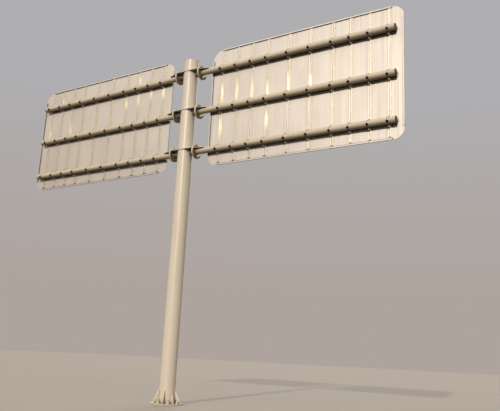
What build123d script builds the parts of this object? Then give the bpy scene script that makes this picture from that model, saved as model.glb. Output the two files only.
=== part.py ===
from build123d import *
import math
import os

# Twin-cantilever road sign gantry: one round steel post, three levels of tube arms
# bolted to it on both sides, and two aluminium sign panels hung in front of the arms.
# The origin is the centre of the base flange's underside. +X runs along the right arms,
# +Y points from the arms to the sign faces, and +Z is up. All sizes are in millimetres.

# Post and its foot
post_d = 377.0
post_wall = 10.0
post_height = 8710.0
cap_t = 8.0
base_d = 750.0
base_t = 30.0
base_bolt_pcd = 620.0
base_bolt_count = 8
base_hole_d = 42.0
base_rib_h = 300.0
base_rib_reach = 150.0
base_rib_t = 12.0
base_rib_nose = 25.0

# Arms
post_head = 395.0
arm_spacing = 1080.0
arm_d = 159.0
arm_wall = 8.0
arm_end_margin = 175.0
end_cap_t = 5.0

# Flanged joints between the stubs and the arms
joint_x = 360.0
flange_d = 370.0
flange_t = 20.0

# Stiffeners: wing plates from flange to flange past the post, and ribs on the arms
wing_t = 14.0
wing_rise = 62.0
wing_half_width = 200.0
rib_length = 250.0
rib_t = 10.0
rib_nose = 12.0

# Sign panels
panel_inner_x = 655.0
panel_width = 5080.0
panel_height = 3130.0
panel_drop = 398.0
panel_corner_r = 280.0
sheet_t = 3.0
lip_return = 28.0
lip_clearance = 1.5

# Battens: hollow sliding channels on a flat foot
batten_step_outer = 448.0
batten_step_centre = 578.0
batten_steps_per_group = 3
batten_foot_w = 80.0
batten_foot_t = 3.0
batten_box_w = 46.0
batten_depth = 25.0
batten_wall = 3.5
batten_slot_w = 18.0
batten_end_gap = 44.0

# Clamps: bent flat straps that hold each arm to each batten
strap_w = 40.0
strap_t = 4.0
strap_fit = 0.2
strap_lug = 50.0
strap_bends = 4

post_r = post_d / 2
arm_r = arm_d / 2
arm_top = post_height - post_head
arm_levels = [arm_top - 2 * arm_spacing, arm_top - arm_spacing, arm_top]
level_names = ["bottom", "middle", "top"]
sheet_back_y = arm_r + batten_depth
lip_depth = batten_depth - lip_clearance
panel_bottom = arm_levels[0] - panel_drop
panel_top = panel_bottom + panel_height
outer_steps = [batten_step_outer] * batten_steps_per_group
batten_steps = outer_steps + [batten_step_centre] * batten_steps_per_group + outer_steps
batten_margin = (panel_width - sum(batten_steps)) / 2
batten_xs = [panel_inner_x + batten_margin + sum(batten_steps[:i]) for i in range(len(batten_steps) + 1)]
arm_end_x = batten_xs[-1] + arm_end_margin
sides = {"left": -1, "right": 1}


def rod_along_x(x0, x1, radius):
    return extrude(Plane.YZ.offset(x0) * Circle(radius), x1 - x0)


def tube_along_x(x0, x1, outer_r, inner_r):
    return extrude(Plane.YZ.offset(x0) * (Circle(outer_r) - Circle(inner_r)), x1 - x0)


def mirrored(shape, side):
    return shape if side > 0 else mirror(shape, about=Plane.YZ)


def post():
    """Straight tube with its welded flat cap."""
    rod = extrude(Plane.XY.offset(base_t) * Circle(post_r), post_height - base_t)
    bore = extrude(Plane.XY.offset(base_t) * Circle(post_r - post_wall), post_height - base_t - cap_t)
    return rod - bore


def base_plate():
    holes = PolarLocations(base_bolt_pcd / 2, base_bolt_count) * Circle(base_hole_d / 2)
    return extrude(Circle(base_d / 2) - holes, base_t)


def base_ribs():
    """Triangular gussets between post and base plate, one midway between each two holes."""
    start = post_r - base_rib_nose
    end = post_r + base_rib_reach
    outline = Polyline((start, 0), (end, 0), (end, base_rib_nose),
                       (post_r + base_rib_nose, base_rib_h), (start, base_rib_h), close=True)
    blade = extrude(Plane.XZ * make_face(outline), base_rib_t / 2, both=True)
    blade = blade.translate((0, 0, base_t))
    core = extrude(Plane.XY.offset(base_t) * Circle(post_r), base_rib_h)
    blade = blade - core
    step = 360 / base_bolt_count
    return Compound(children=[Rot(0, 0, (i + 0.5) * step) * blade for i in range(base_bolt_count)])


def on_both_sides(shape):
    return [mirrored(shape, side) for side in sides.values()]


def at_each_level(shapes):
    return Compound(children=[shape.translate((0, 0, z)) for z in arm_levels for shape in shapes])


def post_rod():
    """The post's outside, as a cutter for what is welded to it, at an arm's height."""
    return extrude(Plane.XY.offset(-arm_d) * Circle(post_r), 2 * arm_d)


def stub_tubes():
    """Short tubes from the post to the inner flanges, saddle cut on the post."""
    tube = tube_along_x(0, joint_x - flange_t, arm_r, arm_r - arm_wall) - post_rod()
    tube = tube.solids().sort_by(Axis.X)[-1]
    return at_each_level(on_both_sides(tube))


def flange_disc(x0):
    return rod_along_x(x0, x0 + flange_t, flange_d / 2)


def stub_flanges():
    return at_each_level(on_both_sides(flange_disc(joint_x - flange_t)))


def arm_flanges():
    return at_each_level(on_both_sides(flange_disc(joint_x)))


def wing_plates():
    """Flat plates before and behind the post, cut to the post and to both stubs."""
    reach = joint_x - flange_t
    slab = Box(2 * reach, 2 * wing_half_width, wing_t).translate((0, 0, wing_rise))
    stub_rod = rod_along_x(-reach, reach, arm_r)
    return at_each_level((slab - post_rod() - stub_rod).solids())


def arm_ribs():
    """Tapered ribs behind each arm flange: two at the wing plates' height, one above, one below."""
    start = joint_x + flange_t
    rim = flange_d / 2 - rib_nose
    rod = rod_along_x(start - rib_nose, start + rib_length + rib_nose, arm_r)

    def blade(reach):
        outline = Polyline((start, 0), (start + rib_length, 0), (start + rib_length, arm_r + rib_nose),
                           (start + rib_nose, reach), (start, reach), close=True)
        return extrude(Plane.XZ * make_face(outline), rib_t / 2, both=True)

    above = blade(rim) - rod
    flat_reach = math.sqrt(rim ** 2 - wing_rise ** 2)
    front = (Rot(90, 0, 0) * blade(flat_reach)).translate((0, 0, wing_rise)) - rod
    front = front.solids().sort_by(SortBy.VOLUME)[-1]
    ribs = [above, mirror(above, about=Plane.XY), front, mirror(front, about=Plane.XZ)]
    return at_each_level([shape for rib in ribs for shape in on_both_sides(rib)])


def arm_tube(z, side):
    """One arm, closed at its outer end by a welded cap."""
    start = joint_x + flange_t
    bore = rod_along_x(start, arm_end_x - end_cap_t, arm_r - arm_wall)
    tube = rod_along_x(start, arm_end_x, arm_r) - bore
    return mirrored(tube.translate((0, 0, z)), side)


def panel_sheet(side):
    """Flat sheet with round corners; its straight edges are folded back and then inwards."""
    centre_x = panel_inner_x + panel_width / 2
    centre_z = (panel_bottom + panel_top) / 2
    plane = Plane(origin=(centre_x, sheet_back_y + sheet_t, centre_z), x_dir=(1, 0, 0), z_dir=(0, -1, 0))
    sheet = extrude(plane * RectangleRounded(panel_width, panel_height, panel_corner_r), sheet_t)
    along = panel_width - 2 * panel_corner_r
    up = panel_height - 2 * panel_corner_r
    lip_y = sheet_back_y + (sheet_t - lip_depth) / 2
    deep = lip_depth + sheet_t
    rim_y = sheet_back_y - lip_depth + sheet_t / 2
    half_w = panel_width / 2
    half_h = panel_height / 2
    for sign in (-1, 1):
        lip_z = centre_z + sign * (half_h - sheet_t / 2)
        rim_z = centre_z + sign * (half_h - lip_return / 2)
        lip_x = centre_x + sign * (half_w - sheet_t / 2)
        rim_x = centre_x + sign * (half_w - lip_return / 2)
        sheet = sheet + Box(along, deep, sheet_t).translate((centre_x, lip_y, lip_z))
        sheet = sheet + Box(along, sheet_t, lip_return).translate((centre_x, rim_y, rim_z))
        sheet = sheet + Box(sheet_t, deep, up).translate((lip_x, lip_y, centre_z))
        sheet = sheet + Box(lip_return, sheet_t, up).translate((rim_x, rim_y, centre_z))
    return mirrored(sheet, side)


def batten_profile():
    """Section of one channel: a flat foot, a hollow box on it, and a slot along its face."""
    foot = Rectangle(batten_foot_w, batten_foot_t, align=(Align.CENTER, Align.MIN))
    box = Rectangle(batten_box_w, batten_depth, align=(Align.CENTER, Align.MIN))
    room = Pos(0, batten_foot_t) * Rectangle(batten_box_w - 2 * batten_wall,
                                            batten_depth - batten_foot_t - batten_wall,
                                            align=(Align.CENTER, Align.MIN))
    slot = Pos(0, batten_foot_t) * Rectangle(batten_slot_w, batten_depth, align=(Align.CENTER, Align.MIN))
    return foot + box - room - slot


def panel_battens(side):
    low = panel_bottom + batten_end_gap
    plane = Plane(origin=(0, sheet_back_y, low), x_dir=(-1, 0, 0), z_dir=(0, 0, 1))
    bar = extrude(plane * batten_profile(), panel_height - 2 * batten_end_gap)
    return Compound(children=[bar.translate((side * x, 0, 0)) for x in batten_xs])


def strap():
    """One clamp strap: a flat bar bent in short flats round a tube, with a lug above and below."""
    inner = arm_r + strap_fit
    step = math.pi / strap_bends

    def bent(radius, end_y):
        corner_r = radius / math.cos(step / 2)
        turns = [math.pi / 2 + (i + 0.5) * step for i in range(strap_bends)]
        corners = [(corner_r * math.cos(t), corner_r * math.sin(t)) for t in turns]
        return [(end_y, radius)] + corners + [(end_y, -radius)]

    outer = inner + strap_t
    tip = inner + strap_lug
    face = arm_r - strap_t
    outside = bent(outer, face)
    inside = bent(inner, arm_r)
    lug_above = [(arm_r, tip), (face, tip)]
    lug_below = [(face, -tip), (arm_r, -tip)]
    outline = Polyline(*lug_above, *outside, *lug_below, *reversed(inside), close=True)
    return extrude(Plane.YZ * make_face(outline), strap_w / 2, both=True)


def clamps(z, side):
    one = strap()
    return Compound(children=[one.translate((side * x, 0, z)) for x in batten_xs])


def build():
    nodes = {
        "post": post(),
        "base_plate": base_plate(),
        "base_ribs": base_ribs(),
        "stub_tubes": stub_tubes(),
        "stub_flanges": stub_flanges(),
        "wing_plates": wing_plates(),
        "arm_flanges": arm_flanges(),
        "arm_ribs": arm_ribs(),
    }
    for name, side in sides.items():
        nodes["panel_" + name] = panel_sheet(side)
        nodes["battens_" + name] = panel_battens(side)
        for level, z in zip(level_names, arm_levels):
            nodes["arm_" + name + "_" + level] = arm_tube(z, side)
            nodes["clamps_" + name + "_" + level] = clamps(z, side)
    return nodes


os.makedirs("parts", exist_ok=True)
for node, shape in build().items():
    export_step(shape, "parts/" + node + ".step")
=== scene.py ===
import math

import bmesh
import bpy
from mathutils import Matrix, Vector


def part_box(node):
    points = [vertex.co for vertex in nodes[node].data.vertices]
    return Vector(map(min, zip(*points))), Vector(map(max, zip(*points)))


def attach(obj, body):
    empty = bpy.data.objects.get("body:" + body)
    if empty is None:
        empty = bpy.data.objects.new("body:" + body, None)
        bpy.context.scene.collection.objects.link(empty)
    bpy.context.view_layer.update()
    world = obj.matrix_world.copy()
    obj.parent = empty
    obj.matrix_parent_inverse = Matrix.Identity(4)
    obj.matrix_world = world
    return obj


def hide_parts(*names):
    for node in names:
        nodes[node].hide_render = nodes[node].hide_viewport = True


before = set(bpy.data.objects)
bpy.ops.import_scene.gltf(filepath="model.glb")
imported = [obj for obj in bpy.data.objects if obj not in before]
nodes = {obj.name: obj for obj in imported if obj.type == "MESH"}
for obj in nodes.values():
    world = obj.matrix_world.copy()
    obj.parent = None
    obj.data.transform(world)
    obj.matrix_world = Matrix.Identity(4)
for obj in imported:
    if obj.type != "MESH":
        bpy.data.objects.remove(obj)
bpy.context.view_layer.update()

print("stage: frame loaded,", len(nodes), "nodes")

# Places and sizes that several pieces share, in metres, read off the frame
levelNames = ["bottom", "middle", "top"]
sideSigns = {"left": -1, "right": 1}
armBoxes = [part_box("arm_right_" + level) for level in levelNames]
armHeights = [(low.z + high.z) / 2 for low, high in armBoxes]
armRadius = (armBoxes[0][1].z - armBoxes[0][0].z) / 2
armStart, armEnd = armBoxes[0][0].x, armBoxes[0][1].x
postRadius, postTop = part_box("post")[1].x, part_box("post")[1].z
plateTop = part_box("base_plate")[1].z
panelLow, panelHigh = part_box("panel_right")
battenLow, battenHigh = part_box("battens_right")

# Sizes that the frame doesn't give by itself
flangeThickness = 0.020
stubFace = armStart - 2 * flangeThickness     # back of the stub flange
battenFirst, sideStep, middleStep = 0.984, 0.448, 0.578
battenSteps = [sideStep] * 3 + [middleStep] * 3 + [sideStep] * 3
battenPlaces = [battenFirst + sum(battenSteps[:i]) for i in range(len(battenSteps) + 1)]
clampPlaces = [(sign * x, z) for sign in sideSigns.values() for z in armHeights for x in battenPlaces]
wingHeight, wingHalf = 0.062, 0.007           # above the arm's middle, and half the plate's thickness
hair = 0.0005                                 # past a face, so that the face itself is counted in


def linearColour(text):
    # sRGB hex to the linear values that sockets take
    parts = [int(text[i:i + 2], 16) / 255 for i in (0, 2, 4)]
    return tuple(p / 12.92 if p <= 0.04045 else ((p + 0.055) / 1.055) ** 2.4 for p in parts) + (1.0,)


def shiftedColour(text, times, more=0.0):
    # A colour made paler or darker in linear light
    return tuple(min(1.0, c * times + more) for c in linearColour(text)[:3]) + (1.0,)


def feed(tree, node, feeds):
    # A feed is a plain value, a hex colour, an output, or a node, which stands for its first output in use
    for key, value in feeds.items():
        if isinstance(value, str):
            value = linearColour(value)
        if isinstance(value, bpy.types.Node):
            value = next(output for output in value.outputs if output.enabled)
        if isinstance(value, bpy.types.NodeSocket):
            tree.links.new(value, node.inputs[key])
        else:
            node.inputs[key].default_value = value


def addNode(tree, kind, settings=None, feeds=None):
    # One node with its settings, or with the one word of its operation, and its feeds
    node = tree.nodes.new(kind)
    if isinstance(settings, str):
        settings = {"operation": settings}
    for name, value in (settings or {}).items():
        setattr(node, name, value)
    feed(tree, node, feeds or {})
    return node


rgba = {"data_type": "RGBA"}                  # a mix of colours: input 0 is the share, 6 and 7 the colours
smooth = {"interpolation_type": "SMOOTHSTEP"}


def startMaterial(name, metallic, roughness):
    material = bpy.data.materials.new(name)
    material.use_nodes = True
    tree = material.node_tree
    shader = tree.nodes["Principled BSDF"]
    feed(tree, shader, {"Metallic": metallic, "Roughness": roughness})
    return material, tree, shader, addNode(tree, "ShaderNodeTexCoord").outputs["Object"]


def noiseShare(tree, where, cells, low, high, detail=3.0):
    # Noise stretched by its cell sizes in metres, and cut to a 0 to 1 share between low and high
    scaled = addNode(tree, "ShaderNodeMapping", None, {"Vector": where, "Scale": [1 / c for c in cells]})
    noise = addNode(tree, "ShaderNodeTexNoise", None, {"Vector": scaled, "Scale": 1.0, "Detail": detail})
    return addNode(tree, "ShaderNodeMapRange", None, {0: noise, 1: low, 2: high})


# Painted shade: surfaces are darkened the more they face down, standing in for the shade on the undersides
undersideShadeLook = {"colour": "5C4E3C", "onPaint": 0.6, "onZinc": 0.9, "starts": -0.15, "full": -0.95}


def shadeBelow(tree, colour, amount):
    facing = addNode(tree, "ShaderNodeNewGeometry").outputs["Normal"]
    fall = addNode(tree, "ShaderNodeSeparateXYZ", None, {0: facing}).outputs[2]
    share = addNode(tree, "ShaderNodeMapRange", None, {
        0: fall, 1: undersideShadeLook["starts"], 2: undersideShadeLook["full"], 3: 0.0, 4: amount})
    return addNode(tree, "ShaderNodeMix", rgba, {0: share, 6: colour, 7: undersideShadeLook["colour"]})


shadePatches = {"cells": (0.03, 0.03, 0.05), "low": 0.2, "high": 0.5}


def cornerShare(tree, where, reach, most, unshaded, full):
    # Painted shade in a corner, in broken patches, from how much of its surroundings a face sees: none while
    # the face sees more of them than the first threshold, and most of it where it sees less than full
    corner = addNode(tree, "ShaderNodeAmbientOcclusion", {"samples": 6}, {"Distance": reach}).outputs["AO"]
    share = addNode(tree, "ShaderNodeMapRange", None, {0: corner, 1: unshaded, 2: full, 3: 0.0, 4: most})
    broken = noiseShare(tree, where, **shadePatches)
    return addNode(tree, "ShaderNodeMath", "MULTIPLY", {0: share, 1: broken})


def outFromPost(tree, where):
    # Distance from the post's middle plane, to either side
    along = addNode(tree, "ShaderNodeSeparateXYZ", None, {0: where}).outputs[0]
    return addNode(tree, "ShaderNodeMath", "ABSOLUTE", {0: along})


def outShare(tree, where, low, high):
    # 1 between two distances from the post's middle plane
    out = outFromPost(tree, where)
    over = addNode(tree, "ShaderNodeMath", "GREATER_THAN", {0: out, 1: low})
    under = addNode(tree, "ShaderNodeMath", "LESS_THAN", {0: out, 1: high})
    return addNode(tree, "ShaderNodeMath", "MULTIPLY", {0: over, 1: under})


# Post and arm paint: polyurethane topcoat sprayed over galvanised tube. Semi-gloss, so the
# tubes carry one soft bright line, and the colour is even but for dust washed down in streaks
# and painted shade in corners, on undersides, below the wing plates and on the end caps.
paintLook = {
    "postColour": "E3D9C9",
    "armColour": "D4C8B2",
    "roughness": 0.36,
    "gloss": 0.5,
    "peelCell": 0.012,                        # orange peel is about 2 mm; drawn coarser so that it shows
    "peelHeight": 0.0003,
    # Dust lies in streaks 50 mm wide and over a metre long, inside wide patches
    "dustColour": "B39F7E",
    "dustAmount": 0.7,
    "dustRoughness": 0.62,
    "streaks": {"cells": (0.05, 0.05, 1.3), "low": 0.48, "high": 0.78},
    "patches": {"cells": (0.7, 0.7, 1.6), "low": 0.35, "high": 0.8},
    # Painted shade in the corners beside flanges, ribs and welds, and on the arms where the sheets close in behind
    # them
    "paintCornerShadeColour": "5C4838",
    "paintCornerShade": {"reach": 0.13, "most": 0.8, "unshaded": 0.75, "full": 0.35},
    # Painted shadow on the joints' faces below the wing plates and on the arm flanges, where plates, arms and ribs
    # shade them
    "jointShadowColour": "6B5947",
    "jointShadowAmount": 0.85,
    "jointShadowDepth": 0.3,                      # below the arm's middle
    "jointShadowOut": 0.3,                        # out along the arm from its flange
    # Painted shade: the arms' end caps are near black with little gloss, for the dark ends of the arms
    "capShadeColour": "241B17",
    "capShadeGloss": 0.08,
    "capDepth": 0.006,
}


def paintedSteel(name, colour, look, jointShadowSpan=None):
    # The last argument gives the two distances from the post's middle plane between which the joint shadow is painted
    material, tree, shader, where = startMaterial(name, 0.0, look["roughness"])
    streaks = noiseShare(tree, where, **look["streaks"])
    patches = noiseShare(tree, where, **look["patches"])
    dust = addNode(tree, "ShaderNodeMath", "MULTIPLY", {0: streaks, 1: patches})
    dust = addNode(tree, "ShaderNodeMath", "MULTIPLY", {0: dust, 1: look["dustAmount"]})
    painted = addNode(tree, "ShaderNodeMix", rgba, {0: dust, 6: colour, 7: look["dustColour"]})
    # Painted shade where a face sees little of its surroundings
    paintCornerShade = cornerShare(tree, where, **look["paintCornerShade"])
    painted = addNode(tree, "ShaderNodeMix", rgba, {0: paintCornerShade, 6: painted, 7: look["paintCornerShadeColour"]})
    # Painted shadow below the wing plates, at each level of arms
    if jointShadowSpan:
        # The same stretch of height at each level of arms
        depth, spacing = look["jointShadowDepth"], armHeights[1] - armHeights[0]
        height = addNode(tree, "ShaderNodeSeparateXYZ", None, {0: where}).outputs[2]
        height = addNode(tree, "ShaderNodeMath", "SUBTRACT", {0: height, 1: armHeights[0] - depth})
        height = addNode(tree, "ShaderNodeMath", "MODULO", {0: height, 1: spacing})
        share = addNode(tree, "ShaderNodeMath", "LESS_THAN", {0: height, 1: depth + wingHeight})
        share = addNode(tree, "ShaderNodeMath", "MULTIPLY", {0: share, 1: look["jointShadowAmount"]})
        share = addNode(tree, "ShaderNodeMath", "MULTIPLY", {0: outShare(tree, where, *jointShadowSpan), 1: share})
        painted = addNode(tree, "ShaderNodeMix", rgba, {0: share, 6: painted, 7: look["jointShadowColour"]})
    # Painted shade on the end caps
    endCap = outShare(tree, where, armEnd - look["capDepth"], armEnd + 1)
    painted = addNode(tree, "ShaderNodeMix", rgba, {0: endCap, 6: painted, 7: look["capShadeColour"]})
    gloss = addNode(tree, "ShaderNodeMapRange", None, {0: endCap, 3: look["gloss"], 4: look["capShadeGloss"]})
    rough = addNode(tree, "ShaderNodeMapRange", None, {0: dust, 3: look["roughness"], 4: look["dustRoughness"]})
    peel = addNode(tree, "ShaderNodeTexNoise", None, {"Vector": where, "Scale": 1 / look["peelCell"], "Detail": 1.0})
    bump = addNode(tree, "ShaderNodeBump", None, {"Distance": look["peelHeight"], "Height": peel})
    # The base colour carries painted shade on the undersides
    feed(tree, shader, {"Base Color": shadeBelow(tree, painted, undersideShadeLook["onPaint"]),
                        "Specular IOR Level": gloss, "Roughness": rough, "Normal": bump})
    return material


# Sign backs: mill-finish aluminium sheet, weathered outdoors. A satin pale metal with fine
# rolling lines up the sheet, slightly uneven oxide, and gentle waves that break up the light.
sheetLook = {
    "colour": "C8C3BB",
    "oxideColour": "B7ACA3",
    "lineShare": 0.35,
    "oxideShare": 0.4,
    "metallic": 0.85,
    "roughness": 0.5,
    "roughRange": (0.44, 0.6),
    "grain": 0.7,
    # Rolling lines are under 1 mm; drawn 12 mm wide to show
    "lines": {"cells": (0.012, 0.5, 2.5), "low": 0.35, "high": 0.7, "detail": 4.0},
    "oxide": {"cells": (0.5, 0.5, 0.9), "low": 0.4, "high": 0.75},
    "waves": {"cells": (0.16, 0.5, 2.2), "low": 0.0, "high": 1.0, "detail": 1.0},
    "waveHeight": 0.0012,
    # Painted shade in corners: beside the battens and in the folds
    "metalShadeColour": "30261C",
    "metalCornerShade": {"reach": 0.06, "most": 0.95, "unshaded": 0.9, "full": 0.5},
    # Painted shade: a dark line along the folds at the top and bottom edges, this far in, where the folds shade the
    # sheet
    "foldDirt": {"reach": 0.06, "most": 1.0, "unshaded": 0.99, "full": 0.85},
    "foldReach": 0.042,
    "puckerHeight": 0.0012,                   # the rivets pull the sheet up at each batten
    "puckerReach": 0.075,
}


def grainUpward(tree, shader, amount):
    # Grain that runs up the metal spreads the light sideways, and hardly up or down
    facing = addNode(tree, "ShaderNodeNewGeometry").outputs["Normal"]
    sideways = addNode(tree, "ShaderNodeVectorMath", "CROSS_PRODUCT", {0: (0.0, 0.0, 1.0), 1: facing})
    feed(tree, shader, {"Tangent": sideways, "Anisotropic": amount})


def battenShare(tree, where, reach):
    # 1 on the centre line of each batten, falling to 0 at reach to either side
    out = outFromPost(tree, where)
    nearest = armEnd
    for place in battenPlaces:
        gap = addNode(tree, "ShaderNodeMath", "SUBTRACT", {0: out, 1: place})
        gap = addNode(tree, "ShaderNodeMath", "ABSOLUTE", {0: gap})
        nearest = addNode(tree, "ShaderNodeMath", "MINIMUM", {0: nearest, 1: gap})
    return addNode(tree, "ShaderNodeMapRange", smooth, {0: nearest, 1: 0.0, 2: reach, 3: 1.0, 4: 0.0})


def foldShare(tree, where, reach):
    # 1 within reach of the sign panels' top and bottom edges
    height = addNode(tree, "ShaderNodeSeparateXYZ", None, {0: where}).outputs[2]
    middle, half = (panelLow.z + panelHigh.z) / 2, (panelHigh.z - panelLow.z) / 2
    apart = addNode(tree, "ShaderNodeMath", "SUBTRACT", {0: height, 1: middle})
    apart = addNode(tree, "ShaderNodeMath", "ABSOLUTE", {0: apart})
    return addNode(tree, "ShaderNodeMath", "GREATER_THAN", {0: apart, 1: half - reach})


def rolledAluminium(name, look):
    material, tree, shader, where = startMaterial(name, look["metallic"], look["roughness"])
    grainUpward(tree, shader, look["grain"])
    lines = noiseShare(tree, where, **look["lines"])
    oxide = noiseShare(tree, where, **look["oxide"])
    share = addNode(tree, "ShaderNodeMath", "MULTIPLY", {0: lines, 1: look["lineShare"]})
    share = addNode(tree, "ShaderNodeMath", "MULTIPLY_ADD", {0: oxide, 1: look["oxideShare"], 2: share})
    colour = addNode(tree, "ShaderNodeMix", rgba, {0: share, 6: look["colour"], 7: look["oxideColour"]})
    # Painted shade in the corners and along the folds
    metalCornerShade = cornerShare(tree, where, **look["metalCornerShade"])
    folded = cornerShare(tree, where, **look["foldDirt"])
    folded = addNode(tree, "ShaderNodeMath", "MULTIPLY", {0: folded, 1: foldShare(tree, where, look["foldReach"])})
    metalCornerShade = addNode(tree, "ShaderNodeMath", "MAXIMUM", {0: metalCornerShade, 1: folded})
    colour = addNode(tree, "ShaderNodeMix", rgba, {0: metalCornerShade, 6: colour, 7: look["metalShadeColour"]})
    low, high = look["roughRange"]
    rough = addNode(tree, "ShaderNodeMapRange", None, {0: lines, 3: low, 4: high})
    waves = noiseShare(tree, where, **look["waves"])
    bump = addNode(tree, "ShaderNodeBump", None, {"Distance": look["waveHeight"], "Height": waves})
    pucker = battenShare(tree, where, look["puckerReach"])
    bump = addNode(tree, "ShaderNodeBump", None, {"Distance": look["puckerHeight"], "Height": pucker, "Normal": bump})
    feed(tree, shader, {"Base Color": colour, "Roughness": rough, "Normal": bump})
    return material


# Battens: extruded aluminium channel. Brighter and smoother than the sheet, with die lines
# along its length. None is quite true, so some lengths catch the low light and flash, and there a
# brighter yellow is painted into the colour as a highlight.
channelLook = {
    "colour": "F0EADE",
    "tintColour": "DED6C5",
    "metallic": 0.85,
    "roughness": 0.5,
    "grain": 0.7,
    # Die lines are well under 1 mm; drawn 4 mm apart
    "dieLines": {"cells": (0.004, 0.004, 3.0), "low": 0.3, "high": 0.7, "detail": 2.0},
    "dieHeight": 0.0002,
    # Painted shade in the channels' corners and at the ends of the boxes
    "metalShadeColour": "7E6546",
    "metalCornerShade": {"reach": 0.03, "most": 0.75, "unshaded": 0.9, "full": 0.4},
    # Painted shade on the lowest part of each box, for the shade in its open lower end: it starts and is full at these
    # heights
    "endStarts": 0.035,
    "endFull": 0.021,
    "boxDepth": 0.02,
    # How far the channels' faces turn aside: slightly all over, and more where they flash
    "twist": {"cells": (1.2, 1.2, 0.8), "low": 0.3, "high": 0.7, "detail": 1.0},
    "twistAmount": 0.04,
    "flashAmount": 0.21,
    "paintedFlashColour": "F6EECF",
    "flashWidth": 0.25,
    # The lengths that flash: X, Z and half length
    "flashes": [
        (0.984, 7.66, 0.46), (1.432, 7.60, 0.38), (1.88, 7.54, 0.42), (2.328, 7.44, 0.42), (2.906, 7.52, 0.48),
        (3.484, 7.45, 0.3), (0.984, 6.75, 0.4), (2.328, 6.72, 0.3), (-0.984, 8.06, 0.34), (-1.432, 8.1, 0.26),
        (-1.88, 8.0, 0.34), (-2.328, 7.98, 0.3), (-1.88, 8.58, 0.26), (-4.958, 8.5, 0.2), (-5.406, 7.5, 0.4),
        (-4.51, 7.5, 0.4),
    ],
}


def flashShare(tree, where, places, width):
    # 1 at the middle of each of those lengths, falling to 0 at its ends
    share = 0.0
    for x, z, reach in places:
        apart = addNode(tree, "ShaderNodeVectorMath", "SUBTRACT", {0: where, 1: (x, 0.0, z)})
        apart = addNode(tree, "ShaderNodeVectorMath", "MULTIPLY", {0: apart, 1: (1 / width, 0.0, 1 / reach)})
        apart = addNode(tree, "ShaderNodeVectorMath", "LENGTH", {0: apart})
        near = addNode(tree, "ShaderNodeMapRange", smooth, {0: apart, 1: 0.0, 2: 1.0, 3: 1.0, 4: 0.0})
        share = addNode(tree, "ShaderNodeMath", "MAXIMUM", {0: near, 1: share})
    return share


def extrudedAluminium(name, look):
    material, tree, shader, where = startMaterial(name, look["metallic"], look["roughness"])
    grainUpward(tree, shader, look["grain"])
    lines = noiseShare(tree, where, **look["dieLines"])
    colour = addNode(tree, "ShaderNodeMix", rgba, {0: lines, 6: look["colour"], 7: look["tintColour"]})
    twist = noiseShare(tree, where, **look["twist"])
    flash = flashShare(tree, where, look["flashes"], look["flashWidth"])
    # Painted highlight: a brighter yellow where the lengths flash
    colour = addNode(tree, "ShaderNodeMix", rgba, {0: flash, 6: colour, 7: look["paintedFlashColour"]})
    # Painted shade in the corners and at the lowest part of each box
    metalCornerShade = cornerShare(tree, where, **look["metalCornerShade"])
    apart = addNode(tree, "ShaderNodeSeparateXYZ", None, {0: where}).outputs
    ends = addNode(tree, "ShaderNodeMapRange", None, {
        0: apart[2], 1: battenLow.z + look["endStarts"], 2: battenLow.z + look["endFull"]})
    onBox = addNode(tree, "ShaderNodeMath", "LESS_THAN", {0: apart[1], 1: battenLow.y + look["boxDepth"]})
    ends = addNode(tree, "ShaderNodeMath", "MULTIPLY", {0: ends, 1: onBox})
    metalCornerShade = addNode(tree, "ShaderNodeMath", "MAXIMUM", {0: metalCornerShade, 1: ends})
    colour = addNode(tree, "ShaderNodeMix", rgba, {0: metalCornerShade, 6: colour, 7: look["metalShadeColour"]})
    turn = addNode(tree, "ShaderNodeMapRange", None, {0: twist, 3: -look["twistAmount"], 4: look["twistAmount"]})
    turn = addNode(tree, "ShaderNodeMath", "MULTIPLY_ADD", {0: flash, 1: look["flashAmount"], 2: turn})
    aside = addNode(tree, "ShaderNodeCombineXYZ", None, {0: turn})
    facing = addNode(tree, "ShaderNodeNewGeometry").outputs["Normal"]
    twisted = addNode(tree, "ShaderNodeVectorMath", "ADD", {0: facing, 1: aside})
    twisted = addNode(tree, "ShaderNodeVectorMath", "NORMALIZE", {0: twisted})
    bump = addNode(tree, "ShaderNodeBump", None, {"Distance": look["dieHeight"], "Height": lines, "Normal": twisted})
    feed(tree, shader, {"Base Color": colour, "Normal": bump})
    return material


# Straps, nuts and washers: hot-dip galvanised steel, dulled outdoors, with the grey mottle of
# zinc crystals. Real crystals are 5 to 15 mm.
zincLook = {
    "strapColour": "D2C9B8",
    "boltColour": "EFEAE0",
    # Painted shade: the flange bolts are darker, as they sit in the shade between post and flange
    "flangeBoltColour": "8F8474",
    "darkShare": 0.25,
    "crystalCell": 0.012,
    "crystalHeight": 0.0002,
    "dull": {"cells": (0.05, 0.05, 0.05), "low": 0.4, "high": 0.7},
    "metallic": 0.5,
    "roughness": 0.42,
    "roughRange": (0.32, 0.57),
}


def galvanisedSteel(name, colour, look):
    material, tree, shader, where = startMaterial(name, look["metallic"], look["roughness"])
    crystals = addNode(tree, "ShaderNodeTexVoronoi", None, {"Vector": where, "Scale": 1 / look["crystalCell"]})
    tone = addNode(tree, "ShaderNodeSeparateColor", None, {0: crystals.outputs["Color"]}).outputs
    dull = noiseShare(tree, where, **look["dull"])
    dark = shiftedColour(colour, 1 - look["darkShare"])
    spangled = addNode(tree, "ShaderNodeMix", rgba, {0: tone[0], 6: colour, 7: dark})
    dulled = addNode(tree, "ShaderNodeMix", rgba, {0: dull, 6: spangled, 7: dark})
    low, high = look["roughRange"]
    rough = addNode(tree, "ShaderNodeMapRange", None, {0: tone[1], 3: low, 4: high})
    bump = addNode(tree, "ShaderNodeBump", None, {"Distance": look["crystalHeight"], "Height": tone[0]})
    # The base colour carries painted shade on the undersides
    feed(tree, shader, {"Base Color": shadeBelow(tree, dulled, undersideShadeLook["onZinc"]), "Roughness": rough, "Normal": bump})
    return material


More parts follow.
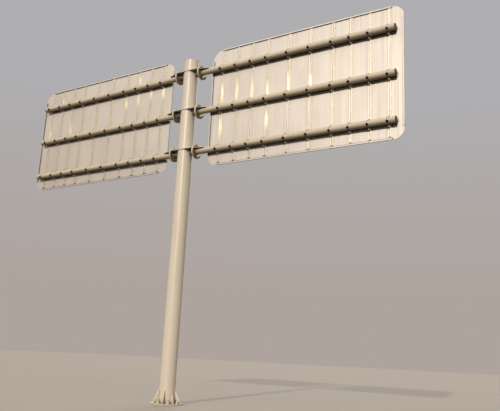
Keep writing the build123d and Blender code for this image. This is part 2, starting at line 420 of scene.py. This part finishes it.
# Set screws: near black, with a little brown in small patches
blackLook = {
    "colour": "0B0A09",
    "rustColour": "1E1510",
    "rust": {"cells": (0.008, 0.008, 0.008), "low": 0.5, "high": 0.75},
    "rustHeight": 0.0002,
    "roughness": 0.7,
    "gloss": 0.2,
}


def nearBlackSteel(name, look):
    material, tree, shader, where = startMaterial(name, 0.0, look["roughness"])
    rust = noiseShare(tree, where, **look["rust"])
    colour = addNode(tree, "ShaderNodeMix", rgba, {0: rust, 6: look["colour"], 7: look["rustColour"]})
    bump = addNode(tree, "ShaderNodeBump", None, {"Distance": look["rustHeight"], "Height": rust})
    feed(tree, shader, {"Base Color": colour, "Specular IOR Level": look["gloss"], "Normal": bump})
    return material


# Sign faces: retroreflective film over the sheet. A smooth clear surface over a pattern of
# small cells, and a faint fading in wide patches.
filmLook = {
    "faceColour": "1F4E9E",
    "borderColour": "E9ECEE",
    "cellSize": 0.02,                         # cells are 3 to 4 mm; drawn 20 mm to show
    "cellRandomness": 0.15,
    "cellHeight": 0.0001,
    "wallRange": (0.02, 0.09),
    "wallShift": (1.25, 0.02),
    "faded": {"cells": (1.1, 1.1, 0.8), "low": 0.3, "high": 0.8},
    "fadedShift": (1.12, 0.01),
    "roughness": 0.3,
    "coat": 0.5,
    "coatRoughness": 0.12,
}


def reflectiveFilm(name, colour, look):
    material, tree, shader, where = startMaterial(name, 0.0, look["roughness"])
    cells = addNode(tree, "ShaderNodeTexVoronoi", {"feature": "DISTANCE_TO_EDGE"}, {
        "Vector": where, "Scale": 1 / look["cellSize"], "Randomness": look["cellRandomness"]})
    low, high = look["wallRange"]
    walls = addNode(tree, "ShaderNodeMapRange", None, {0: cells.outputs["Distance"], 1: low, 2: high})
    faded = noiseShare(tree, where, **look["faded"])
    celled = addNode(tree, "ShaderNodeMix", rgba, {0: walls, 6: shiftedColour(colour, *look["wallShift"]), 7: colour})
    shown = addNode(tree, "ShaderNodeMix", rgba, {0: faded, 6: celled, 7: shiftedColour(colour, *look["fadedShift"])})
    bump = addNode(tree, "ShaderNodeBump", None, {"Distance": look["cellHeight"], "Height": walls})
    feed(tree, shader, {"Base Color": shown, "Normal": bump,
                        "Coat Weight": look["coat"], "Coat Roughness": look["coatRoughness"]})
    return material


# Spans of the painted joint shadow: on the stubs, and on the arm flanges out along the arms
onStubs = (0.0, stubFace + hair)
onFlanges = (armStart - hair, armStart + paintLook["jointShadowOut"])
postPaint = paintedSteel("postPaint", paintLook["postColour"], paintLook)
armPaint = paintedSteel("armPaint", paintLook["armColour"], paintLook)
stubPaint = paintedSteel("postPaintJointShadow", paintLook["postColour"], paintLook, onStubs)
flangePaint = paintedSteel("armPaintJointShadow", paintLook["armColour"], paintLook, onFlanges)
sheetMetal = rolledAluminium("rolledAluminiumSheet", sheetLook)
channelMetal = extrudedAluminium("extrudedAluminiumChannel", channelLook)
strapZinc = galvanisedSteel("galvanisedStrap", zincLook["strapColour"], zincLook)
boltZinc = galvanisedSteel("galvanisedBolt", zincLook["boltColour"], zincLook)
flangeBoltZinc = galvanisedSteel("flangeBoltShaded", zincLook["flangeBoltColour"], zincLook)
screwBlack = nearBlackSteel("nearBlackScrew", blackLook)
faceFilm = reflectiveFilm("reflectiveFaceFilm", filmLook["faceColour"], filmLook)
borderFilm = reflectiveFilm("reflectiveBorderFilm", filmLook["borderColour"], filmLook)

finishes = {
    "post": postPaint, "base_plate": postPaint, "base_ribs": postPaint,
    "stub_tubes": stubPaint, "stub_flanges": stubPaint, "wing_plates": postPaint,
    "arm_flanges": flangePaint, "arm_ribs": armPaint,
}
for side in sideSigns:
    finishes["panel_" + side] = sheetMetal
    finishes["battens_" + side] = channelMetal
    for level in levelNames:
        finishes["arm_" + side + "_" + level] = armPaint
        finishes["clamps_" + side + "_" + level] = strapZinc
for name, material in finishes.items():
    nodes[name].data.materials.clear()
    nodes[name].data.materials.append(material)
print("stage: materials on", len(finishes), "frame nodes")


def startTree(name, inputs):
    # A node tree for a modifier: geometry in and out, and one named input for each size
    tree = bpy.data.node_groups.new(name, "GeometryNodeTree")
    tree.interface.new_socket("Geometry", in_out="INPUT", socket_type="NodeSocketGeometry")
    for label, (kind, value) in inputs.items():
        socket = tree.interface.new_socket(label, in_out="INPUT", socket_type="NodeSocket" + kind)
        if value is not None:
            socket.default_value = value
    tree.interface.new_socket("Geometry", in_out="OUTPUT", socket_type="NodeSocketGeometry")
    return tree, addNode(tree, "NodeGroupInput").outputs


def endTree(tree, geometry):
    real = addNode(tree, "GeometryNodeRealizeInstances", None, {0: geometry})
    given = addNode(tree, "NodeGroupInput").outputs
    dressed = addNode(tree, "GeometryNodeSetMaterial", None, {0: real, "Material": given["Material"]})
    addNode(tree, "NodeGroupOutput", None, {0: dressed})
    return tree


def growPiece(name, seed, tree, values):
    # Runs the tree on a seed mesh and keeps the result as a plain mesh that rides on the frame
    holder = bpy.data.objects.new(name + "Seed", seed)
    bpy.context.scene.collection.objects.link(holder)
    modifier = holder.modifiers.new("grow", "NODES")
    modifier.node_group = tree
    ids = {item.name: item.identifier for item in tree.interface.items_tree if item.in_out == "INPUT"}
    for label, value in values.items():
        modifier[ids[label]] = value
    graph = bpy.context.evaluated_depsgraph_get()
    mesh = bpy.data.meshes.new_from_object(holder.evaluated_get(graph))
    holder.modifiers.clear()
    bpy.data.objects.remove(holder)
    mesh.name = name
    piece = bpy.data.objects.new(name, mesh)
    bpy.context.scene.collection.objects.link(piece)
    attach(piece, "root")
    print("stage:", name, len(mesh.polygons), "faces")
    return piece


def pathMesh(name, paths):
    # Open and closed polylines as edges: each path is (points, closed)
    points, edges = [], []
    for path, closed in paths:
        start = len(points)
        points += [tuple(p) for p in path]
        edges += [(start + i, start + i + 1) for i in range(len(path) - 1)]
        if closed:
            edges.append((start + len(path) - 1, start))
    mesh = bpy.data.meshes.new(name)
    mesh.from_pydata(points, edges, [])
    return mesh


def pointMesh(name, points):
    mesh = bpy.data.meshes.new(name)
    mesh.from_pydata(points, [], [])
    return mesh


boltShape = {"washerSides": 16, "shankSides": 12, "flatShare": 0.82, "shoulderShare": 0.86}


def boltTree(look):
    # A hex bolt on every point: head and washer in front, nut and washer behind the grip
    tree, given = startTree("hexBolts", {
        "Head Width": ("Float", 0.03),
        "Head Height": ("Float", 0.013),
        "Washer Width": ("Float", 0.037),
        "Washer Thickness": ("Float", 0.003),
        "Shank Width": ("Float", 0.02),
        "Grip": ("Float", 0.04),
        "Near Thread": ("Float", 0.0),
        "Far Length": ("Float", 0.03),
        "Far Nut": ("Bool", True),
        "Turn": ("Vector", (0.0, 0.0, 0.0)),
        "Seed": ("Int", 0),
        "Material": ("Material", None),
    })
    half = {label: addNode(tree, "ShaderNodeMath", "MULTIPLY", {0: given[label], 1: 0.5})
            for label in ("Head Width", "Washer Width", "Shank Width")}
    corner = addNode(tree, "ShaderNodeMath", "DIVIDE", {0: half["Head Width"], 1: math.cos(math.pi / 6)})
    shoulder = addNode(tree, "ShaderNodeMath", "MULTIPLY", {0: corner, 1: look["shoulderShare"]})
    flat = addNode(tree, "ShaderNodeMath", "MULTIPLY", {0: given["Head Height"], 1: look["flatShare"]})
    cap = addNode(tree, "ShaderNodeMath", "MULTIPLY", {0: given["Head Height"], 1: 1 - look["flatShare"]})
    capStart = addNode(tree, "ShaderNodeMath", "ADD", {0: given["Washer Thickness"], 1: flat})
    # Washer, flat and bevelled cap, each as sides, top and bottom radius, depth and start
    layers = [(look["washerSides"], half["Washer Width"], half["Washer Width"], given["Washer Thickness"], 0.0),
              (6, corner, corner, flat, given["Washer Thickness"]), (6, shoulder, corner, cap, capStart)]
    head = addNode(tree, "GeometryNodeJoinGeometry")
    for sides, top, bottom, depth, start in layers:
        layer = addNode(tree, "GeometryNodeMeshCone", None, {
            "Vertices": sides, "Radius Top": top, "Radius Bottom": bottom, "Depth": depth})
        lift = addNode(tree, "ShaderNodeCombineXYZ", None, {2: start})
        feed(tree, head, {0: addNode(tree, "GeometryNodeTransform", None, {0: layer, "Translation": lift})})
    down = addNode(tree, "ShaderNodeMath", "MULTIPLY", {0: given["Grip"], 1: -1.0})
    behind = addNode(tree, "ShaderNodeCombineXYZ", None, {2: down})
    nut = addNode(tree, "GeometryNodeTransform", None, {
        0: head, "Translation": behind, "Rotation": (math.pi, 0.0, math.pi / 6)})
    nut = addNode(tree, "GeometryNodeSwitch", {"input_type": "GEOMETRY"}, {0: given["Far Nut"], 2: nut})
    # Shank from the far thread end to the near one
    bottom = addNode(tree, "ShaderNodeMath", "SUBTRACT", {0: down, 1: given["Far Length"]})
    nearEnd = addNode(tree, "ShaderNodeMath", "ADD", {0: given["Washer Thickness"], 1: given["Head Height"]})
    nearEnd = addNode(tree, "ShaderNodeMath", "ADD", {0: nearEnd, 1: given["Near Thread"]})
    span = addNode(tree, "ShaderNodeMath", "SUBTRACT", {0: nearEnd, 1: bottom})
    shank = addNode(tree, "GeometryNodeMeshCone", None, {
        "Vertices": look["shankSides"], "Radius Top": half["Shank Width"],
        "Radius Bottom": half["Shank Width"], "Depth": span})
    drop = addNode(tree, "ShaderNodeCombineXYZ", None, {2: bottom})
    shank = addNode(tree, "GeometryNodeTransform", None, {0: shank, "Translation": drop})
    bolt = addNode(tree, "GeometryNodeJoinGeometry")
    for part in (head, nut, shank):
        feed(tree, bolt, {0: part})
    # Each bolt is turned about its own axis by chance, as a spanner leaves it
    spin = addNode(tree, "FunctionNodeRandomValue", {"data_type": "FLOAT"}, {
        2: 0.0, 3: math.tau, "Seed": given["Seed"]})
    spin = addNode(tree, "ShaderNodeCombineXYZ", None, {2: spin})
    facing = addNode(tree, "FunctionNodeEulerToRotation", None, {0: given["Turn"]})
    turned = addNode(tree, "FunctionNodeRotateRotation", {"rotation_space": "LOCAL"}, {0: facing, 1: spin})
    placed = addNode(tree, "GeometryNodeInstanceOnPoints", None, {
        "Points": given["Geometry"], "Instance": bolt, "Rotation": turned})
    return endTree(tree, placed)


hexBolts = boltTree(boltShape)
alongX = (0.0, math.pi / 2, 0.0)              # bolt heads towards +X
againstX = (0.0, -math.pi / 2, 0.0)
againstY = (math.pi / 2, 0.0, 0.0)            # heads towards -Y, where the arms are seen from

flangeBoltLook = {
    "circle": 0.29, "count": 12, "sizes": {
        "Head Width": 0.030, "Head Height": 0.014, "Washer Width": 0.034, "Shank Width": 0.020,
        "Grip": 2 * flangeThickness, "Far Length": 0.026, "Seed": 3, "Material": flangeBoltZinc}}


def circlePlaces(look, shift):
    # Pairs of places round a bolt circle, the first one turned by a share of a step
    radius, step = look["circle"] / 2, math.tau / look["count"]
    return [(radius * math.cos((i + shift) * step), radius * math.sin((i + shift) * step))
            for i in range(look["count"])]


def flangeBolts(look):
    for side, sign in sideSigns.items():
        places = [(sign * stubFace, y, height + z) for height in armHeights for y, z in circlePlaces(look, 0.5)]
        growPiece("flangeBolts" + side.capitalize(), pointMesh("joint", places), hexBolts,
                  {**look["sizes"], "Turn": againstX if sign > 0 else alongX})


flangeBolts(flangeBoltLook)

strapLook = {
    "width": 0.040, "thickness": 0.004, "fit": 0.0002, "lug": 0.050,
    "bend": 0.008, "bendSteps": 4, "ringSteps": 14, "rounding": 0.0008,
}


def strapTree():
    # A flat bar with rounded edges swept along each path
    tree, given = startTree("bentStraps", {
        "Bar Width": ("Float", 0.04),
        "Bar Thickness": ("Float", 0.004),
        "Edge Rounding": ("Float", 0.0008),
        "Material": ("Material", None),
    })
    path = addNode(tree, "GeometryNodeMeshToCurve", None, {0: given["Geometry"]})
    section = addNode(tree, "GeometryNodeCurvePrimitiveQuadrilateral", None, {
        "Width": given["Bar Width"], "Height": given["Bar Thickness"]})
    section = addNode(tree, "GeometryNodeFilletCurve", None, {0: section, "Radius": given["Edge Rounding"]})
    return endTree(tree, addNode(tree, "GeometryNodeCurveToMesh", None, {0: path, 1: section, "Fill Caps": True}))


def strapPath(x, height, look):
    # Centre line of one strap: lug, round bend, over the tube's front half, and the same below
    ring = armRadius + look["fit"] + look["thickness"] / 2
    tip = armRadius + look["fit"] + look["lug"]
    lugY, bend = battenLow.y - look["thickness"] / 2, look["bend"]
    quarter, bendSteps, ringSteps = math.pi / 2, look["bendSteps"], look["ringSteps"]
    bendTurns = [quarter * i / bendSteps for i in range(1, bendSteps + 1)]
    ringTurns = [quarter * i / ringSteps for i in range(ringSteps)]
    half = [(lugY, tip), (lugY, ring + bend)]
    half += [(lugY - bend * (1 - math.cos(a)), ring + bend * (1 - math.sin(a))) for a in bendTurns]
    half += [(-ring * math.sin(a), ring * math.cos(a)) for a in ringTurns]
    whole = half + [(-ring, 0.0)] + [(y, -z) for y, z in reversed(half)]
    return [(x, y, height + z) for y, z in whole], False


def bentStraps(look):
    paths = [strapPath(x, height, look) for x, height in clampPlaces]
    straps = growPiece("bentStraps", pathMesh("strapPaths", paths), strapTree(), {
        "Bar Width": look["width"], "Bar Thickness": look["thickness"],
        "Edge Rounding": look["rounding"], "Material": strapZinc})
    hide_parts(*["clamps_" + side + "_" + level for side in sideSigns for level in levelNames])


bentStraps(strapLook)

strapBoltLook = {
    "height": 0.1145, "sizes": {              # above and below the arm's middle
        "Head Width": 0.030, "Head Height": 0.030, "Washer Width": 0.034, "Shank Width": 0.020,
        "Grip": strapLook["thickness"], "Far Length": 0.012, "Near Thread": 0.034, "Far Nut": False,
        "Turn": againstY, "Seed": 5, "Material": boltZinc}}
setScrewLook = {
    "droop": 22, "sizes": {                   # degrees below the arm's foremost line
        "Head Width": 0.050, "Head Height": 0.024, "Washer Width": 0.056, "Shank Width": 0.030,
        "Grip": 0.0, "Far Length": 0.012, "Far Nut": False,
        "Seed": 7, "Material": screwBlack}}


def strapHardware(boltLook, screwLook):
    droop = math.radians(screwLook["droop"])
    ring = armRadius + strapLook["fit"] + strapLook["thickness"]
    lugFace = battenLow.y - strapLook["thickness"]
    lugs = [(x, lugFace, height + up * boltLook["height"]) for x, height in clampPlaces for up in (-1, 1)]
    fronts = [(x, -ring * math.cos(droop), height - ring * math.sin(droop)) for x, height in clampPlaces]
    growPiece("strapBolts", pointMesh("lugs", lugs), hexBolts, boltLook["sizes"])
    growPiece("strapScrews", pointMesh("fronts", fronts), hexBolts,
              {**screwLook["sizes"], "Turn": (math.pi / 2 + droop, 0.0, 0.0)})


strapHardware(strapBoltLook, setScrewLook)

anchorLook = {
    "circle": 0.62, "count": 8, "sizes": {
        "Head Width": 0.055, "Head Height": 0.029, "Washer Width": 0.066, "Washer Thickness": 0.006,
        "Shank Width": 0.036, "Grip": 0.0, "Far Length": 0.03, "Near Thread": 0.045, "Far Nut": False,
        "Seed": 9, "Material": boltZinc}}


def anchorNuts(look):
    places = [(x, y, plateTop) for x, y in circlePlaces(look, 0)]
    growPiece("anchorNuts", pointMesh("anchors", places), hexBolts, look["sizes"])


anchorNuts(anchorLook)

# height is a share of the head's half width, and offset is from the batten's middle line
rivetLook = {
    "width": 0.011, "height": 0.35, "segments": 8, "rings": 4,
    "gap": 0.154, "offset": 0.0315, "endRoom": 0.06, "footThickness": 0.003,
}


def rivetTree(look):
    # A low dome on every point, facing the arms
    tree, given = startTree("rivetDomes", {
        "Head Width": ("Float", 0.011),
        "Head Height": ("Float", 0.35),
        "Turn": ("Vector", (0.0, 0.0, 0.0)),
        "Material": ("Material", None),
    })
    radius = addNode(tree, "ShaderNodeMath", "MULTIPLY", {0: given["Head Width"], 1: 0.5})
    dome = addNode(tree, "GeometryNodeMeshUVSphere", None, {
        "Segments": look["segments"], "Rings": look["rings"], "Radius": radius})
    flatten = addNode(tree, "ShaderNodeCombineXYZ", None, {0: 1.0, 1: 1.0, 2: given["Head Height"]})
    dome = addNode(tree, "GeometryNodeTransform", None, {0: dome, "Scale": flatten})
    dome = addNode(tree, "GeometryNodeSetShadeSmooth", None, {0: dome})
    facing = addNode(tree, "FunctionNodeEulerToRotation", None, {0: given["Turn"]})
    return endTree(tree, addNode(tree, "GeometryNodeInstanceOnPoints", None, {
        "Points": given["Geometry"], "Instance": dome, "Rotation": facing}))


def battenRivets(look):
    footFace = battenHigh.y - look["footThickness"]
    count = int((battenHigh.z - battenLow.z - look["endRoom"]) / look["gap"])
    first = (battenLow.z + battenHigh.z - (count - 1) * look["gap"]) / 2
    domes = rivetTree(look)
    for side, sign in sideSigns.items():
        places = [(sign * x + edge * look["offset"], footFace, first + i * look["gap"])
                  for x in battenPlaces for i in range(count) for edge in (-1, 1)]
        growPiece("battenRivets" + side.capitalize(), pointMesh("rivets", places), domes, {
            "Head Width": look["width"], "Head Height": look["height"], "Turn": againstY,
            "Material": channelMetal})


battenRivets(rivetLook)

weldLook = {
    "tubeBead": 0.006, "plateBead": 0.005, "beadSides": 6,
    "ripple": 0.007, "rippleDepth": 0.12,
    "wanderCell": 0.025, "wander": 0.3, "wanderLeast": 0.9,
    "postCapInset": 0.003, "armCapInset": 0.002,
    "stubGap": 0.075,                         # a wing plate's seam on the post stops this far from its middle
    "flangeSeam": (0.06, 0.17),               # where its seam on each flange starts and ends
    "ringSteps": 64, "saddleSteps": 72, "arcSteps": 40,
}


def weldTree(look):
    # A rippled bead along each path, as hand welding leaves it
    tree, given = startTree("weldBeads", {
        "Bead Radius": ("Float", 0.006),
        "Ripple Length": ("Float", 0.007),
        "Ripple Depth": ("Float", 0.12),
        "Material": ("Material", None),
    })
    path = addNode(tree, "GeometryNodeMeshToCurve", None, {0: given["Geometry"]})
    step = addNode(tree, "ShaderNodeMath", "MULTIPLY", {0: given["Ripple Length"], 1: 0.5})
    path = addNode(tree, "GeometryNodeResampleCurve", {"mode": "LENGTH"}, {0: path, "Length": step})
    index = addNode(tree, "GeometryNodeInputIndex")
    odd = addNode(tree, "ShaderNodeMath", "MODULO", {0: index, 1: 2.0})
    dip = addNode(tree, "ShaderNodeMath", "MULTIPLY", {0: odd, 1: given["Ripple Depth"]})
    wander = addNode(tree, "ShaderNodeTexNoise", None, {"Scale": 1 / look["wanderCell"], "Detail": 1.0})
    wander = addNode(tree, "ShaderNodeMath", "MULTIPLY_ADD", {0: wander, 1: look["wander"], 2: look["wanderLeast"]})
    size = addNode(tree, "ShaderNodeMath", "SUBTRACT", {0: wander, 1: dip})
    size = addNode(tree, "ShaderNodeMath", "MULTIPLY", {0: size, 1: given["Bead Radius"]})
    profile = addNode(tree, "GeometryNodeCurvePrimitiveCircle", None, {"Resolution": look["beadSides"], "Radius": 1.0})
    bead = addNode(tree, "GeometryNodeCurveToMesh", None, {0: path, 1: profile, "Scale": size, "Fill Caps": True})
    return endTree(tree, addNode(tree, "GeometryNodeSetShadeSmooth", None, {0: bead}))


def ringPath(centre, radius, across, count):
    # A closed circle about centre, in the plane of the two directions in across
    first, second = (Vector(a) for a in across)
    turns = [math.tau * i / count for i in range(count)]
    return [Vector(centre) + radius * (math.cos(a) * first + math.sin(a) * second) for a in turns], True


def saddlePath(sign, height, count):
    # The line where a stub meets the post
    turns = [math.tau * i / count for i in range(count)]
    around = [(armRadius * math.cos(a), armRadius * math.sin(a)) for a in turns]
    return [Vector((sign * math.sqrt(postRadius ** 2 - y ** 2), y, height + z)) for y, z in around], True


def weldSeams(look):
    beads = weldTree(look)
    flat = ((1, 0, 0), (0, 1, 0))
    upright = ((0, 1, 0), (0, 0, 1))
    inset, count, arcSteps = look["postCapInset"], look["ringSteps"], look["arcSteps"]
    postSeams = [ringPath((0, 0, plateTop), postRadius, flat, count),
                 ringPath((0, 0, postTop - inset), postRadius - inset, flat, count)]
    armSeams = []
    reach = math.acos(look["stubGap"] / postRadius)
    arcTurns = [reach * (2 * i / arcSteps - 1) for i in range(arcSteps + 1)]
    for height in armHeights:
        for sign in sideSigns.values():
            postSeams.append(saddlePath(sign, height, look["saddleSteps"]))
            postSeams.append(ringPath((sign * stubFace, 0, height), armRadius, upright, count))
            armSeams.append(ringPath((sign * armStart, 0, height), armRadius, upright, count))
            armSeams.append(ringPath((sign * (armEnd - inset), 0, height),
                                     armRadius - look["armCapInset"], upright, count))
        for face in (-wingHalf, wingHalf):
            z = height + wingHeight + face
            for front in (-1, 1):
                postSeams.append(([Vector((postRadius * math.sin(a), front * postRadius * math.cos(a), z))
                                   for a in arcTurns], False))
                for sign in sideSigns.values():
                    postSeams.append(([Vector((sign * stubFace, front * y, z)) for y in look["flangeSeam"]], False))
    ripples = {"Ripple Length": look["ripple"], "Ripple Depth": look["rippleDepth"]}
    growPiece("postWelds", pathMesh("postSeams", postSeams), beads, {
        **ripples, "Bead Radius": look["tubeBead"], "Material": postPaint})
    growPiece("armWelds", pathMesh("armSeams", armSeams), beads, {
        **ripples, "Bead Radius": look["plateBead"], "Material": armPaint})


weldSeams(weldLook)

faceLook = {
    "panelCorner": 0.28, "cornerSteps": 16,
    "edge": 0.004, "filmThickness": 0.0006,
    "borderInset": 0.045, "borderWidth": 0.06, "borderThickness": 0.0004,
}


def roundedOutline(low, high, radius, steps):
    # Corner points of a rounded rectangle in X and Z, going round once
    points = []
    for cx, cz, start in ((high.x - radius, high.z - radius, 0), (low.x + radius, high.z - radius, 1),
                          (low.x + radius, low.z + radius, 2), (high.x - radius, low.z + radius, 3)):
        for i in range(steps + 1):
            angle = (start + i / steps) * math.pi / 2
            points.append((cx + radius * math.cos(angle), cz + radius * math.sin(angle)))
    return points


def filmPiece(name, rings, nearY, farY, material):
    # A closed thin plate between two Y places: one outline, or an outer and an inner one
    mesh = bmesh.new()
    layers = [[[mesh.verts.new((x, y, z)) for x, z in ring] for ring in rings] for y in (nearY, farY)]
    bands = list(zip(*layers))
    if len(rings) == 1:
        for layer in layers:
            mesh.faces.new(layer[0])
    else:
        bands += layers
    for first, second in bands:
        for i in range(len(first)):
            j = (i + 1) % len(first)
            mesh.faces.new((first[i], first[j], second[j], second[i]))
    bmesh.ops.recalc_face_normals(mesh, faces=mesh.faces)
    data = bpy.data.meshes.new(name)
    mesh.to_mesh(data)
    mesh.free()
    data.materials.append(material)
    piece = bpy.data.objects.new(name, data)
    bpy.context.scene.collection.objects.link(piece)
    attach(piece, "root")
    print("stage:", name, len(data.polygons), "faces")


def signFaces(look):
    frontFace = panelHigh.y
    filmFront = frontFace + look["filmThickness"]
    for side in sideSigns:
        low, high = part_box("panel_" + side)

        def outline(inset):
            corner = Vector((inset, 0, inset))
            return roundedOutline(low + corner, high - corner, look["panelCorner"] - inset, look["cornerSteps"])

        filmPiece("signFilm" + side.capitalize(), [outline(look["edge"])], frontFace, filmFront, faceFilm)
        border = [outline(look["borderInset"]), outline(look["borderInset"] + look["borderWidth"])]
        filmPiece("signBorder" + side.capitalize(), border, filmFront, filmFront + look["borderThickness"], borderFilm)


signFaces(faceLook)

# Camera, at the place and angle of the photograph
cameraLook = {
    "place": (9.703, -12.031, 1.150), "yaw": 32.466, "pitch": 13.608, "roll": 2.797,
    "focalPixels": 628.49, "imageWidth": 500, "sensorWidth": 36, "clipEnd": 500,
}


def placeCamera(look):
    yaw, pitch, roll = (math.radians(look[k]) for k in ("yaw", "pitch", "roll"))
    ahead = Vector((-math.sin(yaw) * math.cos(pitch), math.cos(yaw) * math.cos(pitch), math.sin(pitch)))
    level = Vector((math.cos(yaw), math.sin(yaw), 0))
    above = level.cross(ahead)
    right = math.cos(roll) * level + math.sin(roll) * above
    up = -math.sin(roll) * level + math.cos(roll) * above
    data = bpy.data.cameras.new("camera")
    data.sensor_width = look["sensorWidth"]
    data.lens = look["focalPixels"] * data.sensor_width / look["imageWidth"]
    data.clip_end = look["clipEnd"]
    camera = bpy.data.objects.new("camera", data)
    turn = Matrix((right, up, -ahead)).transposed()
    camera.matrix_world = Matrix.Translation(look["place"]) @ turn.to_4x4()
    bpy.context.scene.collection.objects.link(camera)
    bpy.context.scene.camera = camera


placeCamera(cameraLook)
print("stage: camera placed")

studioLook = {
    # Each lamp's strength, colour, azimuth, height and width in degrees
    "lamps": {
        "keyLight": (1.78, "FFF4E6", 12, 23, 1.5),
        "glowLight": (0.5, "FFF6EA", 0, 60, 70),
        "fillLight": (0.9, "FFFFFF", 205, 35, 40),
    },
    "skyColour": "FFF4E4", "skyStrength": 0.55, "belowShare": 0.08, "skyEdge": (-0.02, 0.05),
    "backdropHigh": "AFAEB1", "backdropLow": "AEA49D", "backdropEdge": (0.1, 0.4),
    "floorColour": "A9A29B", "floorDark": "3A3530", "floorShade": 0.97, "floorRoughness": 0.9,
    "floorTone": {"cells": (3, 3, 3), "low": 0.3, "high": 0.7}, "floorReach": 150,
}


def addSun(name, strength, colour, azimuth, height, angle):
    # Azimuth 0 shines from -Y, 90 from +X
    data = bpy.data.lights.new(name, "SUN")
    data.energy = strength
    data.color = linearColour(colour)[:3]
    data.angle = math.radians(angle)
    sun = bpy.data.objects.new(name, data)
    a, h = math.radians(azimuth), math.radians(height)
    source = Vector((math.sin(a) * math.cos(h), -math.cos(a) * math.cos(h), math.sin(h)))
    sun.rotation_euler = source.to_track_quat("Z", "Y").to_euler()
    bpy.context.scene.collection.objects.link(sun)


def seenShare(tree):
    # 1 for camera, glossy and transmission rays, 0 for those that carry light to a matt surface
    path = addNode(tree, "ShaderNodeLightPath").outputs
    first = addNode(tree, "ShaderNodeMath", "MAXIMUM", {0: path["Is Camera Ray"], 1: path["Is Glossy Ray"]})
    both = addNode(tree, "ShaderNodeMath", "MAXIMUM", {0: first, 1: path["Is Transmission Ray"]})
    direct = addNode(tree, "ShaderNodeMath", "LESS_THAN", {0: path["Diffuse Depth"], 1: 0.5})
    return addNode(tree, "ShaderNodeMath", "MULTIPLY", {0: both, 1: direct})


def setSky(look):
    world = bpy.data.worlds.new("studio")
    bpy.context.scene.world = world
    world.use_nodes = True
    tree = world.node_tree
    tree.nodes.clear()
    # The light on the object is an even sky, and dark below
    way = addNode(tree, "ShaderNodeTexCoord").outputs["Generated"]
    rise = addNode(tree, "ShaderNodeSeparateXYZ", None, {0: way}).outputs[2]
    low, high = look["skyEdge"]
    above = addNode(tree, "ShaderNodeMapRange", None, {0: rise, 1: low, 2: high, 3: look["belowShare"], 4: 1.0})
    strength = addNode(tree, "ShaderNodeMath", "MULTIPLY", {0: above, 1: look["skyStrength"]})
    light = addNode(tree, "ShaderNodeBackground", None, {0: look["skyColour"], 1: strength})
    # What the camera and the metal see is the plain backdrop
    low, high = look["backdropEdge"]
    height = addNode(tree, "ShaderNodeMapRange", None, {0: rise, 1: low, 2: high})
    shade = addNode(tree, "ShaderNodeMix", rgba, {0: height, 6: look["backdropLow"], 7: look["backdropHigh"]})
    backdrop = addNode(tree, "ShaderNodeBackground", None, {0: shade, 1: 1.0})
    seen = addNode(tree, "ShaderNodeMixShader", None, {0: seenShare(tree), 1: light, 2: backdrop})
    addNode(tree, "ShaderNodeOutputWorld", None, {0: seen})


def layFloor(look):
    # A plain matt sheet under the foot, dark only to the light that bounces off it
    material, tree, shader, where = startMaterial("studioFloor", 0.0, look["floorRoughness"])
    tone = noiseShare(tree, where, **look["floorTone"])
    shaded = shiftedColour(look["floorColour"], look["floorShade"])
    tinted = addNode(tree, "ShaderNodeMix", rgba, {0: tone, 6: look["floorColour"], 7: shaded})
    feed(tree, shader, {"Base Color": addNode(tree, "ShaderNodeMix", rgba, {
        0: seenShare(tree), 6: look["floorDark"], 7: tinted})})
    reach = look["floorReach"]
    corners = [(-reach, -reach, 0), (reach, -reach, 0), (reach, reach, 0), (-reach, reach, 0)]
    data = bpy.data.meshes.new("studioFloor")
    data.from_pydata(corners, [], [(0, 1, 2, 3)])
    data.materials.append(material)
    floor = bpy.data.objects.new("studioFloor", data)
    bpy.context.scene.collection.objects.link(floor)


for name, lamp in studioLook["lamps"].items():
    addSun(name, *lamp)
setSky(studioLook)
layFloor(studioLook)
print("stage: lights and floor")

bpy.context.scene.view_settings.view_transform = "Standard"
